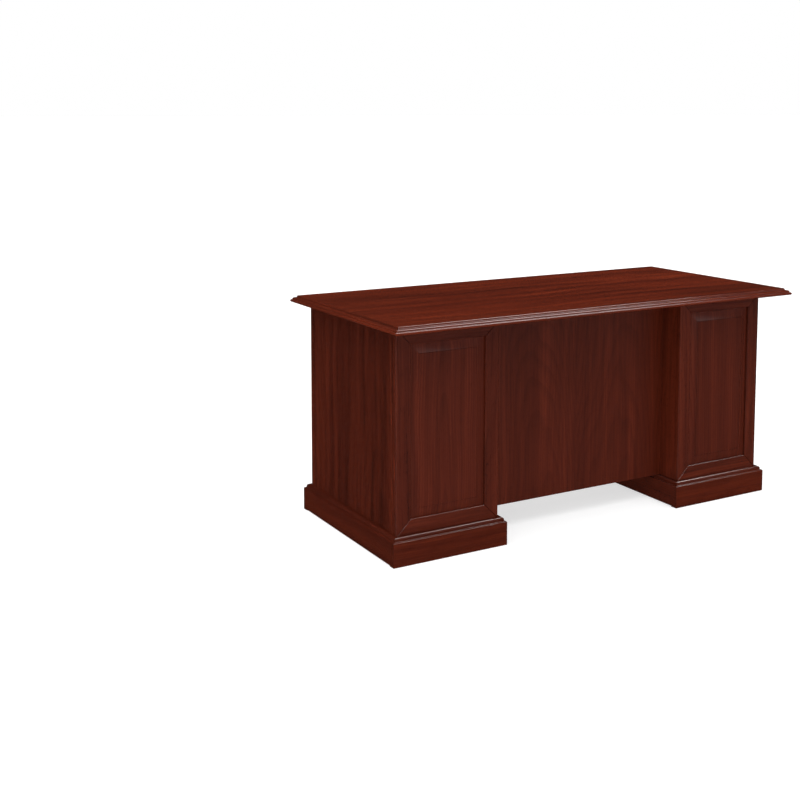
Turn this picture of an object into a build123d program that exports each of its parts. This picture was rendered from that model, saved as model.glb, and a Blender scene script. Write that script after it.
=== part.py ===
from build123d import *
import os

# Executive desk with two pedestals, in millimetres.
# +Z is up and the origin is on the floor under the middle of the desktop. -Y is the visitor's side, with the
# raised panels and the modesty panel; +Y is the user's side, with the drawers, the door and the keyboard shelf.
# The drawer pedestal stands at -X, and the cupboard pedestal at +X.

# ---- driving dimensions ----
DESK_HEIGHT = 768.0
TOP_WIDTH = 1650.0
TOP_DEPTH = 756.0
TOP_THICKNESS = 24.0
EDGE_WIDTH = 22.0           # visible width of the moulding round the desktop

CASE_OUTER_X = 766.0        # outer faces of the end panels
PEDESTAL_WIDTH = 380.0
CASE_BACK_Y = -276.0        # visitor's face of the raised panels
CASE_FRONT_Y = 334.0        # front edges of the pedestals' side panels
PANEL = 16.0                # thickness of a case panel
BACK_THICKNESS = 18.0       # thickness of the raised panels' frames
PANEL_FOOT_Z = 6.0          # the side panels stand on glides of this height

PLINTH_THICKNESS = 22.0
PLINTH_FLAT = 77.0          # height of the plinth's flat face
PLINTH_HEIGHT = 92.0
PLINTH_RELIEF = 3.0         # the plinth's side boards clear the floor by this between their ends

FRAME_WIDTH = 52.0          # stiles and rails of the raised panels
FIELD_BEVEL = 32.0          # sloping border of the raised field

MODESTY_Y = -184.0          # visitor's face of the modesty panel, which stands on the plinths' caps

FRONT_THICKNESS = 18.0      # drawer fronts and door
FRONT_PROUD = 4.0           # how far they stand out of the case
FRONT_SIDE_GAP = 2.0
REVEAL = 5.0                # gap between one front and the next
TOP_REVEAL = 7.0
BOX_FRONT_HEIGHT = 146.0

BOX_SIDE = 12.0             # thickness of the drawer boxes' walls
BOX_LENGTH = 500.0
BOX_BOTTOM = 3.5
BOX_HEIGHT = 100.0
FILE_BOX_HEIGHT = 250.0

SLIDE_WIDTH = 12.7          # room for a slide on each side of a drawer
SLIDE_STEEL = 1.2
SLIDE_HALF_HEIGHT = 22.5

PULL_SPACING = 96.0
PULL_AXIS_OUT = 17.0        # how far the bail's axis stands in front of the drawer front
BAIL_RADIUS = 2.2
BAIL_DROP = 27.0

TRAY_THICKNESS = 16.0
TRAY_TOP_Z = 668.0
TRAY_DEPTH = 400.0

# ---- worked out from them ----
TOP_UNDER_Z = DESK_HEIGHT - TOP_THICKNESS
CASE_INNER_X = CASE_OUTER_X - PEDESTAL_WIDTH
CENTRE_X = CASE_OUTER_X - PEDESTAL_WIDTH / 2
BAY_HALF = PEDESTAL_WIDTH / 2 - PANEL           # half of the clear width inside a pedestal
CARCASE_BACK_Y = CASE_BACK_Y + BACK_THICKNESS
FACE_Y = CASE_FRONT_Y + FRONT_PROUD             # the face of every drawer front and of the door
FRONT_BACK_Y = FACE_Y - FRONT_THICKNESS
RAIL_FRONT_Y = FRONT_BACK_Y - 2.0
FRONT_HALF = BAY_HALF - FRONT_SIDE_GAP
BOX_HALF = BAY_HALF - SLIDE_WIDTH
BOX_BACK_Y = FRONT_BACK_Y - BOX_LENGTH

TOP_FRONT_HIGH = TOP_UNDER_Z - TOP_REVEAL
TOP_FRONT_LOW = TOP_FRONT_HIGH - BOX_FRONT_HEIGHT
SECOND_FRONT_HIGH = TOP_FRONT_LOW - REVEAL
SECOND_FRONT_LOW = SECOND_FRONT_HIGH - BOX_FRONT_HEIGHT
FILE_FRONT_HIGH = SECOND_FRONT_LOW - REVEAL
LOWEST_FRONT_LOW = PLINTH_HEIGHT + REVEAL
UPPER_RAIL_Z = TOP_FRONT_LOW - REVEAL / 2       # middle heights of the rails behind the gaps
LOWER_RAIL_Z = SECOND_FRONT_LOW - REVEAL / 2
BOTTOM_TOP_Z = PLINTH_HEIGHT + PANEL

DRAWER_SIDE = -1            # the sign of X at each pedestal
DOOR_SIDE = 1

# ---- hardware ----
CAM_RADIUS = 7.5
CAM_DEPTH = 12.0
CAM_SETBACK = 24.0          # from the panel's edge to the cam's centre
BOLT_RADIUS = 3.0
BOLT_IN_PANEL = 10.0
HARDWARE_CLEARANCE = 0.2

LOCK_RADIUS = 9.0           # the lock's body in the drawer front
LOCK_PLUG_RADIUS = 6.5
LOCK_DROP = 22.0            # the lock's axis, below the file drawer's top edge
LOCK_TONGUE_REACH = 28.0
TONGUE_THICKNESS = 3.0
FILE_TONGUE_Y = FRONT_BACK_Y - 12.0             # the tongue's back face
RUNNING_CLEARANCE = 0.08

KNOB_FROM_EDGE = 30.0
KNOB_DROP = 40.0
KNOB_REACH = 26.0
DOOR_TONGUE_Y = FRONT_BACK_Y - 16.0

HINGE_LEAF = 1.2
HINGE_LENGTH = 50.0
HINGE_RADIUS = 3.6
HINGE_PIN_RADIUS = 1.5
HINGE_HEIGHTS = (LOWEST_FRONT_LOW + 70.0, TOP_FRONT_LOW - REVEAL - 90.0)
HINGE_X = CASE_OUTER_X - PANEL - FRONT_SIDE_GAP / 2
HINGE_Y = FACE_Y + 2.4

SHELF_Z = 330.0             # underside of the cupboard's loose shelf
SHELF_PIN_RADIUS = 2.5
SHELF_PIN_STEP = 32.0
SHELF_PIN_Y = (-200.0, 240.0)


def block(x, y, z):
    """A box between two limits on each axis."""
    (x0, x1), (y0, y1), (z0, z1) = (sorted(v) for v in (x, y, z))
    return Pos((x0 + x1) / 2, (y0 + y1) / 2, (z0 + z1) / 2) * Box(x1 - x0, y1 - y0, z1 - z0)


def rod(radius, start, end):
    """A cylinder from one point to another."""
    axis = Vector(*end) - Vector(*start)
    return Plane(origin=start, z_dir=axis) * extrude(Circle(radius), axis.length)


def group(*solids):
    """Several separate solids as one node."""
    flat = [s for part in solids for s in part.solids()]
    return Compound(children=flat)


def outline(*edges):
    """A closed face from edges laid end to end."""
    return make_face(Curve() + list(edges))


def mirrored(x, side):
    """A pedestal's inward distance from its outer face, as X on that side of the desk."""
    return side * (CASE_OUTER_X - x)


# ---- mouldings ----
def mitre_prism(corners, low, high):
    """An upright prism over a quarter of a mitred ring."""
    return extrude(Plane.XY.offset(low) * make_face(Polyline(*corners, close=True)), high - low)


def mitred_ring(profile, centre, width, depth, board, high):
    """Four mitred boards round a rectangle. The profile is a face in X (inward from the outer face, so
    negative) and Z (up), and each board is cut at 45 degrees where it meets the next."""
    cx, cy = centre
    hx, hy = width / 2, depth / 2
    bars = []
    for turn, reach, span in ((0, hx, hy), (90, hy, hx), (180, hx, hy), (270, hy, hx)):
        bar = extrude(Plane(origin=(reach, span, 0), x_dir=(1, 0, 0), z_dir=(0, -1, 0)) * profile, 2 * span)
        quarter = mitre_prism(((reach, -span), (reach, span), (reach - board, span - board),
                               (reach - board, -span + board)), -1, high + 1)
        bars.append(Pos(cx, cy, 0) * Rot(0, 0, turn) * (bar & quarter))
    return bars


def edge_profile():
    """The desktop's edge: a small step down from the top, a hollow, a shoulder and a rounded nose."""
    top, under = DESK_HEIGHT, TOP_UNDER_Z
    return outline(
        Line((-EDGE_WIDTH, under), (-EDGE_WIDTH, top)),
        Line((-EDGE_WIDTH, top), (-EDGE_WIDTH + 1.5, top)),
        Line((-EDGE_WIDTH + 1.5, top), (-EDGE_WIDTH + 2.5, top - 1.6)),
        ThreePointArc((-EDGE_WIDTH + 2.5, top - 1.6), (-12.0, top - 7.0), (-7.0, top - 9.6)),
        Line((-7.0, top - 9.6), (-6.2, top - 11.2)),
        ThreePointArc((-6.2, top - 11.2), (-1.6, top - 13.4), (0, top - 17.6)),
        Line((0, top - 17.6), (0, top - 19.5)),
        ThreePointArc((0, top - 19.5), (-1.2, top - 22.6), (-4.2, under)),
        Line((-4.2, under), (-EDGE_WIDTH, under)),
    )


def plinth_profile():
    """The plinth board: a flat face, a small bead, a hollow and a rounded cap against the pedestal."""
    flat, cap, inner = PLINTH_FLAT, PLINTH_HEIGHT, -PLINTH_THICKNESS
    return outline(
        Line((inner, 0), (inner, cap)),
        Line((inner, cap), (-16.0, cap)),
        ThreePointArc((-16.0, cap), (-11.8, cap - 1.6), (-9.5, cap - 5.5)),
        Line((-9.5, cap - 5.5), (-8.4, cap - 6.2)),
        ThreePointArc((-8.4, cap - 6.2), (-5.8, flat + 4.0), (-2.2, flat + 1.6)),
        ThreePointArc((-2.2, flat + 1.6), (-0.7, flat + 0.7), (0, flat - 1.5)),
        Line((0, flat - 1.5), (0, 0)),
        Line((0, 0), (inner, 0)),
    )


def frame_profile():
    """A raised panel's stile or rail: a moulded inner edge in front and a rabbet for the field behind.
    X runs from the outer edge inward, as a negative number, and Z from the carcase (0) to the face."""
    face, rabbet = BACK_THICKNESS, 8.0
    return outline(
        Line((0, 0), (0, face - 1.0)),
        Line((0, face - 1.0), (-1.0, face)),
        Line((-1.0, face), (-FRAME_WIDTH + 3.5, face)),
        ThreePointArc((-FRAME_WIDTH + 3.5, face), (-FRAME_WIDTH + 1.0, face - 1.0), (-FRAME_WIDTH, face - 3.5)),
        Line((-FRAME_WIDTH, face - 3.5), (-FRAME_WIDTH, face - 8.0)),
        Line((-FRAME_WIDTH, face - 8.0), (-FRAME_WIDTH + rabbet, face - 8.0)),
        Line((-FRAME_WIDTH + rabbet, face - 8.0), (-FRAME_WIDTH + rabbet, 0)),
        Line((-FRAME_WIDTH + rabbet, 0), (0, 0)),
    )


# ---- the desktop ----
def desktop_core():
    return block((-TOP_WIDTH / 2 + EDGE_WIDTH, TOP_WIDTH / 2 - EDGE_WIDTH),
                 (-TOP_DEPTH / 2 + EDGE_WIDTH, TOP_DEPTH / 2 - EDGE_WIDTH), (TOP_UNDER_Z, DESK_HEIGHT))


def desktop_edge_moulding():
    return group(*mitred_ring(edge_profile(), (0, 0), TOP_WIDTH, TOP_DEPTH, EDGE_WIDTH, DESK_HEIGHT))


# ---- cam fittings that hold the case together ----
class Fittings:
    """Collects cams and their bolts, and the holes that they need in each named panel."""

    def __init__(self):
        self.cams, self.bolts, self.holes = [], [], {}

    def cut(self, panel, shape):
        self.holes.setdefault(panel, []).append(shape)

    def join(self, shelf, wall, side, wall_inward, direction, y, under_z):
        """Joins a level board's end to an upright panel. direction is which way along X the bolt runs from the
        cam to the panel, counted outward (1) or inward (-1) on that side; under_z is the board's underside."""
        sign = side * direction
        face = mirrored(wall_inward, side)
        middle = under_z + PANEL / 2
        cam_x = face - sign * CAM_SETBACK
        cam = rod(CAM_RADIUS, (cam_x, y, under_z), (cam_x, y, under_z + CAM_DEPTH))
        bolt_start = cam_x + sign * CAM_RADIUS
        bolt_end = face + sign * BOLT_IN_PANEL
        self.cams.append(cam)
        self.bolts.append(rod(BOLT_RADIUS, (bolt_start + sign * HARDWARE_CLEARANCE, y, middle),
                              (bolt_end, y, middle)))
        self.cut(shelf, rod(CAM_RADIUS + HARDWARE_CLEARANCE, (cam_x, y, under_z),
                            (cam_x, y, under_z + CAM_DEPTH + HARDWARE_CLEARANCE)))
        self.cut(shelf, rod(BOLT_RADIUS + HARDWARE_CLEARANCE, (cam_x, y, middle), (face, y, middle)))
        self.cut(wall, rod(BOLT_RADIUS + HARDWARE_CLEARANCE, (face, y, middle),
                           (bolt_end + sign * HARDWARE_CLEARANCE, y, middle)))

    def join_both_ends(self, shelf, walls, side, ys, under_z):
        for y in ys:
            self.join(shelf, walls[0], side, PANEL, 1, y, under_z)
            self.join(shelf, walls[1], side, PEDESTAL_WIDTH - PANEL, -1, y, under_z)

    def drilled(self, panel, shape):
        for hole in self.holes.get(panel, []):
            shape -= hole
        return shape


# ---- the pedestals' cases ----
def side_panel(side, inward):
    """An upright panel of a pedestal, whose outer face is that far in from the pedestal's outer face."""
    return block((mirrored(inward, side), mirrored(inward + PANEL, side)),
                 (CARCASE_BACK_Y, CASE_FRONT_Y), (PANEL_FOOT_Z, TOP_UNDER_Z))


def level_board(side, y, under_z):
    """A level board from one side panel of a pedestal to the other."""
    return block((mirrored(PANEL, side), mirrored(PEDESTAL_WIDTH - PANEL, side)), y, (under_z, under_z + PANEL))


def raised_frame(side):
    """The mitred frame of the raised panel on the visitor's side."""
    low, high = PLINTH_HEIGHT - 5.0, TOP_UNDER_Z
    middle = (low + high) / 2
    bars = mitred_ring(frame_profile(), (side * CENTRE_X, middle), PEDESTAL_WIDTH, high - low, FRAME_WIDTH,
                       BACK_THICKNESS)
    upright = Location(Plane(origin=(0, CARCASE_BACK_Y, 0), x_dir=(1, 0, 0), z_dir=(0, -1, 0)))
    return group(*[upright * bar for bar in bars])


def raised_field(side):
    """The field held in the frame's rabbet: a thin tongue all round, a sloping border and a raised middle."""
    low, high = PLINTH_HEIGHT - 5.0 + FRAME_WIDTH, TOP_UNDER_Z - FRAME_WIDTH
    opening_w, opening_h = PEDESTAL_WIDTH - 2 * FRAME_WIDTH, high - low
    plane = Plane(origin=(side * CENTRE_X, CARCASE_BACK_Y - 3.0, (low + high) / 2), x_dir=(1, 0, 0),
                  z_dir=(0, -1, 0))
    tongue, slope, step = 7.0, 4.8, 1.5
    plate = plane * extrude(Rectangle(opening_w + 14.0, opening_h + 14.0), tongue)
    foot = plane.offset(tongue) * Rectangle(opening_w - 1.0, opening_h - 1.0)
    brow = plane.offset(tongue + slope) * Rectangle(opening_w - 2 * FIELD_BEVEL, opening_h - 2 * FIELD_BEVEL)
    border = loft([foot, brow], ruled=True)
    middle = plane.offset(tongue + slope) * extrude(
        Rectangle(opening_w - 2 * FIELD_BEVEL, opening_h - 2 * FIELD_BEVEL), step)
    return plate + border + middle


def plinth(side):
    """Four mitred boards round the pedestal's foot. The side boards are relieved underneath between their ends."""
    width, depth = PEDESTAL_WIDTH + 2 * PLINTH_THICKNESS, CASE_FRONT_Y - CASE_BACK_Y + 2 * PLINTH_THICKNESS
    centre = (side * CENTRE_X, (CASE_FRONT_Y + CASE_BACK_Y) / 2)
    boards = mitred_ring(plinth_profile(), centre, width, depth, PLINTH_THICKNESS, PLINTH_HEIGHT)
    end = depth / 2 - PLINTH_THICKNESS - 4.0
    relief = block((centre[0] - width, centre[0] + width), (centre[1] - end, centre[1] + end), (-1, PLINTH_RELIEF))
    return group(*[board - relief if i in (0, 2) else board for i, board in enumerate(boards)])


def glides():
    """A round glide under each end of the four upright panels."""
    made = []
    for side in (DRAWER_SIDE, DOOR_SIDE):
        for inward in (PANEL / 2, PEDESTAL_WIDTH - PANEL / 2):
            for y in (CARCASE_BACK_Y + 40, CASE_FRONT_Y - 40):
                x = mirrored(inward, side)
                made.append(rod(7.5, (x, y, 0), (x, y, PANEL_FOOT_Z)))
    return group(*made)


def modesty_panel():
    return block((-CASE_INNER_X, CASE_INNER_X), (MODESTY_Y, MODESTY_Y + PANEL), (PLINTH_HEIGHT, TOP_UNDER_Z))


def top_brackets():
    """Steel angles that hold the desktop down on the upright panels, each with a leaf on both."""
    leaf, size, wide = 2.0, 24.0, 18.0
    made = []
    for side in (DRAWER_SIDE, DOOR_SIDE):
        for inward, towards in ((PANEL, 1), (PEDESTAL_WIDTH - PANEL, -1)):
            for y in (-120.0, 20.0, 160.0):
                x = mirrored(inward, side)
                step = -side * towards
                under = block((x, x + step * size), (y, y + wide), (TOP_UNDER_Z - leaf, TOP_UNDER_Z))
                wall = block((x, x + step * leaf), (y, y + wide), (TOP_UNDER_Z - size, TOP_UNDER_Z))
                made.append(under + wall)
    return group(*made)


# ---- drawers ----
def eased_front(x_middle, half, low, high):
    """A drawer front or door: a backing slab and a rounded, stepped border round its face."""
    slab = block((x_middle - half, x_middle + half), (FRONT_BACK_Y, FACE_Y - 7.0), (low, high))
    inset = 2.0
    face = block((x_middle - half + inset, x_middle + half - inset), (FACE_Y - 7.0, FACE_Y),
                 (low + inset, high - inset))
    face = fillet(face.faces().sort_by(Axis.Y)[-1].edges(), 5.0)
    return slab + face


def drawer_walls(side, low, height):
    """Two sides and a back, each grooved for the bottom."""
    x = side * CENTRE_X
    groove_low, groove_high = low + 9.8, low + 9.8 + BOX_BOTTOM + 0.4
    groove = block((x - BOX_HALF + 6.0, x + BOX_HALF - 6.0), (BOX_BACK_Y - 1, FRONT_BACK_Y + 1),
                   (groove_low, groove_high))
    left = block((x - BOX_HALF, x - BOX_HALF + BOX_SIDE), (BOX_BACK_Y, FRONT_BACK_Y), (low, low + height)) - groove
    right = block((x + BOX_HALF - BOX_SIDE, x + BOX_HALF), (BOX_BACK_Y, FRONT_BACK_Y), (low, low + height)) - groove
    back = block((x - BOX_HALF + BOX_SIDE, x + BOX_HALF - BOX_SIDE), (BOX_BACK_Y, BOX_BACK_Y + BOX_SIDE),
                 (groove_high, low + height))
    return group(left, right, back)


def drawer_bottom(side, low):
    x = side * CENTRE_X
    return block((x - BOX_HALF + 6.2, x + BOX_HALF - 6.2), (BOX_BACK_Y + 1.0, FRONT_BACK_Y),
                 (low + 10.0, low + 10.0 + BOX_BOTTOM))


def channel(wall_x, towards, near, far, lip, half_height, y, z):
    """A steel slide member of channel section. It stands between near and far from wall_x; its web is at the
    near end, or at the far end if lip is negative, and its two flanges are |lip| deep."""
    web_at = near if lip > 0 else far - SLIDE_STEEL
    flange = (near, near + lip) if lip > 0 else (far + lip, far)
    web = block((wall_x + towards * web_at, wall_x + towards * (web_at + SLIDE_STEEL)), y,
                (z - half_height, z + half_height))
    made = web
    for sign in (-1, 1):
        made += block((wall_x + towards * flange[0], wall_x + towards * flange[1]), y,
                      (z + sign * half_height, z + sign * (half_height - SLIDE_STEEL)))
    return made


def slide_pair(make, side):
    """The same slide member at both sides of a pedestal's bay."""
    x = side * CENTRE_X
    return group(*[make(x + sign * BAY_HALF, -sign) for sign in (-1, 1)])


def case_members(side, z):
    return slide_pair(lambda x, towards: channel(x, towards, 0, SLIDE_WIDTH, 9.5, SLIDE_HALF_HEIGHT,
                                                 (BOX_BACK_Y - 2, RAIL_FRONT_Y - 4), z), side)


def middle_members(side, z):
    return slide_pair(lambda x, towards: channel(x, towards, 4.2, SLIDE_WIDTH, 6.3, 18.5,
                                                 (BOX_BACK_Y + 8, RAIL_FRONT_Y - 8), z), side)


def drawer_members(side, z, half_height):
    return slide_pair(lambda x, towards: channel(x, towards, 0, SLIDE_WIDTH, -6.0, half_height,
                                                 (BOX_BACK_Y, FRONT_BACK_Y - 4), z), side)


def pull_mounts(side, z):
    """Two turned posts, each bored across for the bail, and the screws that hold them from inside."""
    made = []
    for sign in (-1, 1):
        x = side * CENTRE_X + sign * PULL_SPACING / 2
        rosette = outline(
            Line((0, 0), (14.0, 0)),
            Line((14.0, 0), (14.0, 1.4)),
            ThreePointArc((14.0, 1.4), (12.9, 2.9), (11.0, 3.2)),
            Line((11.0, 3.2), (9.6, 2.4)),
            Line((9.6, 2.4), (7.6, 2.6)),
            ThreePointArc((7.6, 2.6), (5.2, 4.4), (4.4, 8.0)),
            Line((4.4, 8.0), (4.4, 11.5)),
            ThreePointArc((4.4, 11.5), (7.0, PULL_AXIS_OUT), (1.5, PULL_AXIS_OUT + 6.8)),
            Line((1.5, PULL_AXIS_OUT + 6.8), (0, PULL_AXIS_OUT + 6.8)),
            Line((0, PULL_AXIS_OUT + 6.8), (0, 0)),
        )
        post = revolve(Plane(origin=(x, FACE_Y, z), x_dir=(1, 0, 0), z_dir=(0, 0, 1)) * rosette,
                       Axis((x, FACE_Y, z), (0, 1, 0)))
        axis_y = FACE_Y + PULL_AXIS_OUT
        post -= rod(BAIL_RADIUS + RUNNING_CLEARANCE, (x - sign * 10, axis_y, z), (x + sign * 3.5, axis_y, z))
        post -= rod(2.0 + HARDWARE_CLEARANCE, (x, FACE_Y - 1, z), (x, FACE_Y + 7.2, z))
        screw = rod(2.0, (x, FRONT_BACK_Y, z), (x, FACE_Y + 7.0, z)) + rod(
            4.2, (x, FRONT_BACK_Y - 2.2, z), (x, FRONT_BACK_Y, z))
        made += [post, screw]
    return group(*made)


def pull_holes(side, z):
    return [rod(2.0 + HARDWARE_CLEARANCE, (side * CENTRE_X + sign * PULL_SPACING / 2, FRONT_BACK_Y - 1, z),
                (side * CENTRE_X + sign * PULL_SPACING / 2, FACE_Y + 1, z)) for sign in (-1, 1)]


def bail(side, z):
    """The hanging handle: a pin in each post, a short neck and a slightly bowed bar."""
    x, y = side * CENTRE_X, FACE_Y + PULL_AXIS_OUT
    pin, neck = PULL_SPACING / 2 + 3.0, PULL_SPACING / 2 - 12.0
    points = [(x - pin, y, z), (x - neck, y, z), (x - neck + 4.0, y, z - 19.0), (x, y, z - BAIL_DROP),
              (x + neck - 4.0, y, z - 19.0), (x + neck, y, z), (x + pin, y, z)]
    path = FilletPolyline(*points, radius=[5.5, 10.0, 60.0, 10.0, 5.5])
    section = Plane(origin=points[0], z_dir=(1, 0, 0)) * Circle(BAIL_RADIUS)
    return sweep(section, path)


def make_drawer(name, side, front_low, front_high, box_low, box_height, pull_z, locked=False):
    """The parts of one drawer, by node name."""
    slide_z = box_low + 41.0 if box_height == BOX_HEIGHT else box_low + box_height / 2
    front = eased_front(side * CENTRE_X, FRONT_HALF, front_low, front_high)
    for hole in pull_holes(side, pull_z):
        front -= hole
    if locked:
        z = front_high - LOCK_DROP
        front -= rod(LOCK_RADIUS + HARDWARE_CLEARANCE, (side * CENTRE_X, FRONT_BACK_Y - 1, z),
                     (side * CENTRE_X, FACE_Y + 1, z))
    half_height = 12.5 if name == "file_drawer" else 17.0
    return {
        f"{name}_front": front,
        f"{name}_walls": drawer_walls(side, box_low, box_height),
        f"{name}_bottom": drawer_bottom(side, box_low),
        f"{name}_slide_members": drawer_members(side, slide_z, half_height),
        f"{name}_pull_mounts": pull_mounts(side, pull_z),
        f"{name}_bail": bail(side, pull_z),
    }, case_members(side, slide_z)


def file_hanger_rails(side, top):
    """Two steel strips along the file drawer's sides, hooked over them to carry hanging folders."""
    x = side * CENTRE_X
    made = []
    for sign in (-1, 1):
        inner = x + sign * (BOX_HALF - BOX_SIDE)
        strip = block((inner, inner - sign * 1.5), (BOX_BACK_Y + 20, FRONT_BACK_Y - 10), (top - 14, top + 8))
        cap = block((inner - sign * 1.5, inner + sign * 6), (BOX_BACK_Y + 20, FRONT_BACK_Y - 10), (top, top + 1.5))
        made.append(strip + cap)
    return group(*made)


# ---- locks ----
def lock_body(x, z):
    """The lock's body through the front, with its rim on the face and a bore for the turning plug."""
    body = rod(LOCK_RADIUS, (x, FRONT_BACK_Y - 7, z), (x, FACE_Y, z)) + rod(
        LOCK_RADIUS + 2.5, (x, FACE_Y, z), (x, FACE_Y + 1.6, z))
    return body - rod(LOCK_PLUG_RADIUS + RUNNING_CLEARANCE, (x, FRONT_BACK_Y - 8, z), (x, FACE_Y + 2.6, z))


def lock_plug(x, z):
    """The turning plug, with a key slot in its face and a tongue that hangs down when it is unlocked."""
    plug = rod(LOCK_PLUG_RADIUS, (x, FILE_TONGUE_Y, z), (x, FACE_Y + 1.9, z))
    plug -= block((x - 0.7, x + 0.7), (FACE_Y - 3, FACE_Y + 3), (z - 3.6, z + 3.6))
    tongue = block((x - 6.0, x + 6.0), (FILE_TONGUE_Y, FILE_TONGUE_Y + TONGUE_THICKNESS),
                   (z - LOCK_TONGUE_REACH, z))
    return plug + tongue


def knob_body(x, z):
    """The sleeve of the door's turning knob."""
    body = rod(LOCK_RADIUS, (x, FRONT_BACK_Y - 7, z), (x, FACE_Y, z)) + rod(
        LOCK_RADIUS + 4.0, (x, FACE_Y, z), (x, FACE_Y + 2.0, z))
    return body - rod(LOCK_PLUG_RADIUS + RUNNING_CLEARANCE, (x, FRONT_BACK_Y - 8, z), (x, FACE_Y + 3, z))


def door_knob(x, z):
    """The knob, its shaft and its tongue, which hangs down when the door is free."""
    shaft = rod(LOCK_PLUG_RADIUS, (x, DOOR_TONGUE_Y, z), (x, FACE_Y + 3.0, z))
    head = rod(12.5, (x, FACE_Y + 3.0, z), (x, FACE_Y + 12.0, z))
    head = fillet(head.edges().filter_by(GeomType.CIRCLE).sort_by(Axis.Y)[-1], 2.5)
    grip = block((x - 2.0, x + 2.0), (FACE_Y + 11.0, FACE_Y + 15.5), (z - 10.5, z + 10.5))
    tongue = block((x - 6.0, x + 6.0), (DOOR_TONGUE_Y, DOOR_TONGUE_Y + TONGUE_THICKNESS), (z - KNOB_REACH, z))
    return shaft + head + grip + tongue


def door_strike(side, z):
    """A steel angle on the inner panel, in front of the knob's tongue when it is turned."""
    x = mirrored(PEDESTAL_WIDTH - PANEL, side)
    plate_y = DOOR_TONGUE_Y + TONGUE_THICKNESS + 1.0
    plate = block((x, x + side * 11.0), (plate_y, plate_y + 1.5), (z - 12, z + 12))
    foot = block((x, x + side * 1.5), (plate_y - 22.0, plate_y + 1.5), (z - 12, z + 12))
    return plate + foot - block((x + side * 1.4, x + side * 12.0), (plate_y - 23, plate_y), (z - 13, z + 13))


# ---- the cupboard ----
def hinge_knuckles(heights, part, lengths):
    """Leaves and barrels of the door's butt hinges. part is 'case' or 'door'."""
    made = []
    wall_x = CASE_OUTER_X - PANEL
    for z in heights:
        low = z - HINGE_LENGTH / 2
        third = HINGE_LENGTH / 3
        if part == "case":
            leaf = block((wall_x - HINGE_LEAF * 0.6, wall_x), (FACE_Y - 20.0, HINGE_Y - 1.2),
                         (low, low + HINGE_LENGTH))
            hinge = leaf - block((wall_x - 5, wall_x + 5), (HINGE_Y - HINGE_RADIUS - 0.5, FACE_Y + 10),
                                 (low + third - 0.2, low + 2 * third))
            for start in (low, low + 2 * third):
                hinge += rod(HINGE_RADIUS, (HINGE_X, HINGE_Y, start), (HINGE_X, HINGE_Y, start + third - 0.2
                             if start == low else start + third))
            hinge += rod(HINGE_PIN_RADIUS, (HINGE_X, HINGE_Y, low - 2.0), (HINGE_X, HINGE_Y, low + HINGE_LENGTH + 2.0))
        else:
            door_x = CENTRE_X + FRONT_HALF
            leaf = block((door_x, door_x + HINGE_LEAF * 0.6), (FACE_Y - 20.0, FACE_Y - 7.4),
                         (low, low + HINGE_LENGTH))
            bridge = block((door_x - 0.4, door_x + HINGE_LEAF * 0.6), (FACE_Y - 7.6, HINGE_Y - 1.2),
                           (low + third, low + 2 * third - 0.2))
            barrel = rod(HINGE_RADIUS, (HINGE_X, HINGE_Y, low + third), (HINGE_X, HINGE_Y, low + 2 * third - 0.2))
            hinge = leaf + bridge + barrel - rod(HINGE_PIN_RADIUS + RUNNING_CLEARANCE, (HINGE_X, HINGE_Y, low),
                                                 (HINGE_X, HINGE_Y, low + HINGE_LENGTH))
        made.append(hinge)
    return group(*made)


def shelf_pin_points(side):
    """Every pin hole: three heights, two depths and both side panels, as (x, y, z, way into the panel)."""
    for inward, way in ((PANEL, 1), (PEDESTAL_WIDTH - PANEL, -1)):
        for y in SHELF_PIN_Y:
            for step in (-1, 0, 1):
                yield mirrored(inward, side), y, SHELF_Z - SHELF_PIN_RADIUS - 0.1 + step * SHELF_PIN_STEP, side * way


# ---- the keyboard shelf ----
def tray_panel():
    half = CASE_INNER_X - SLIDE_WIDTH
    front, back = CASE_FRONT_Y - 14.0, CASE_FRONT_Y - 14.0 - TRAY_DEPTH
    panel = block((-half, half), (back, front), (TRAY_TOP_Z - TRAY_THICKNESS, TRAY_TOP_Z))
    nose = panel.faces().sort_by(Axis.Y)[-1].edges().filter_by(Axis.X)
    return fillet(nose, 5.0)


def tray_slides(near, far, lip, half_height, y):
    z = TRAY_TOP_Z - TRAY_THICKNESS / 2
    return group(*[channel(sign * CASE_INNER_X, -sign, near, far, lip, half_height, y, z) for sign in (-1, 1)])


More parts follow.
